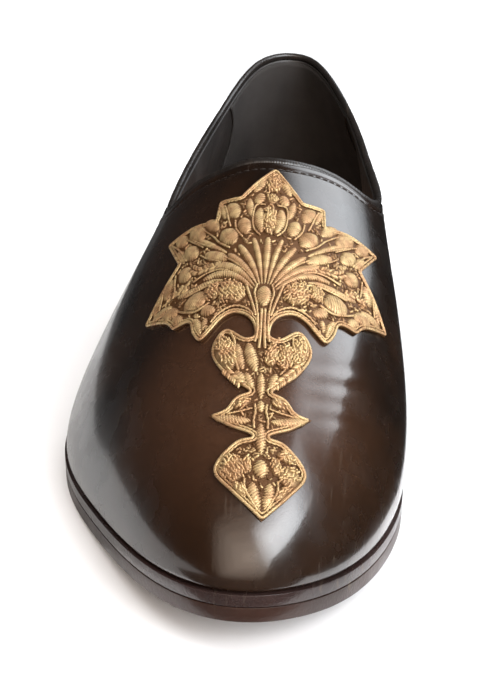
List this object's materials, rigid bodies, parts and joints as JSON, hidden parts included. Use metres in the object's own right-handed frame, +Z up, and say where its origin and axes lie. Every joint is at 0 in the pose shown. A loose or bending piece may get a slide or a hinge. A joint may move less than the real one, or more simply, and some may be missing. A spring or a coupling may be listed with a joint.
{
  "type": "embroidered loafer",
  "caption": "Slip-on leather loafer for the right foot with a raised gold embroidered ornament on the vamp, piped top line, leather sole and low stacked heel.",
  "frame": {"origin": "middle of the bounding box on the floor, under the waist of the shoe", "axes": "+Z up from the floor, -Y to the toe and +Y to the heel, +X to the inner side of the right foot"},
  "size_m": [0.1054, 0.2838, 0.0957],
  "materials": {
    "upper_leather": "polished calf, dark brown",
    "piping_leather": "smooth, near black",
    "gold_thread": "metal thread, dull gold",
    "insole_leather": "matte, tan",
    "welt_leather": "waxed edge, dark brown",
    "sole_leather": "waxed edge, red brown",
    "heel_leather": "waxed layers, dark brown",
    "heel_rubber": "matte black"
  },
  "bodies": {
    "root": {"upper": "upper_leather", "topline_piping": "piping_leather", "embroidery": "gold_thread", "insole": "insole_leather", "midsole": "welt_leather", "outsole": "sole_leather", "heel_stack": "heel_leather", "heel_top_piece": "heel_rubber"}
  },
  "joints": []
}
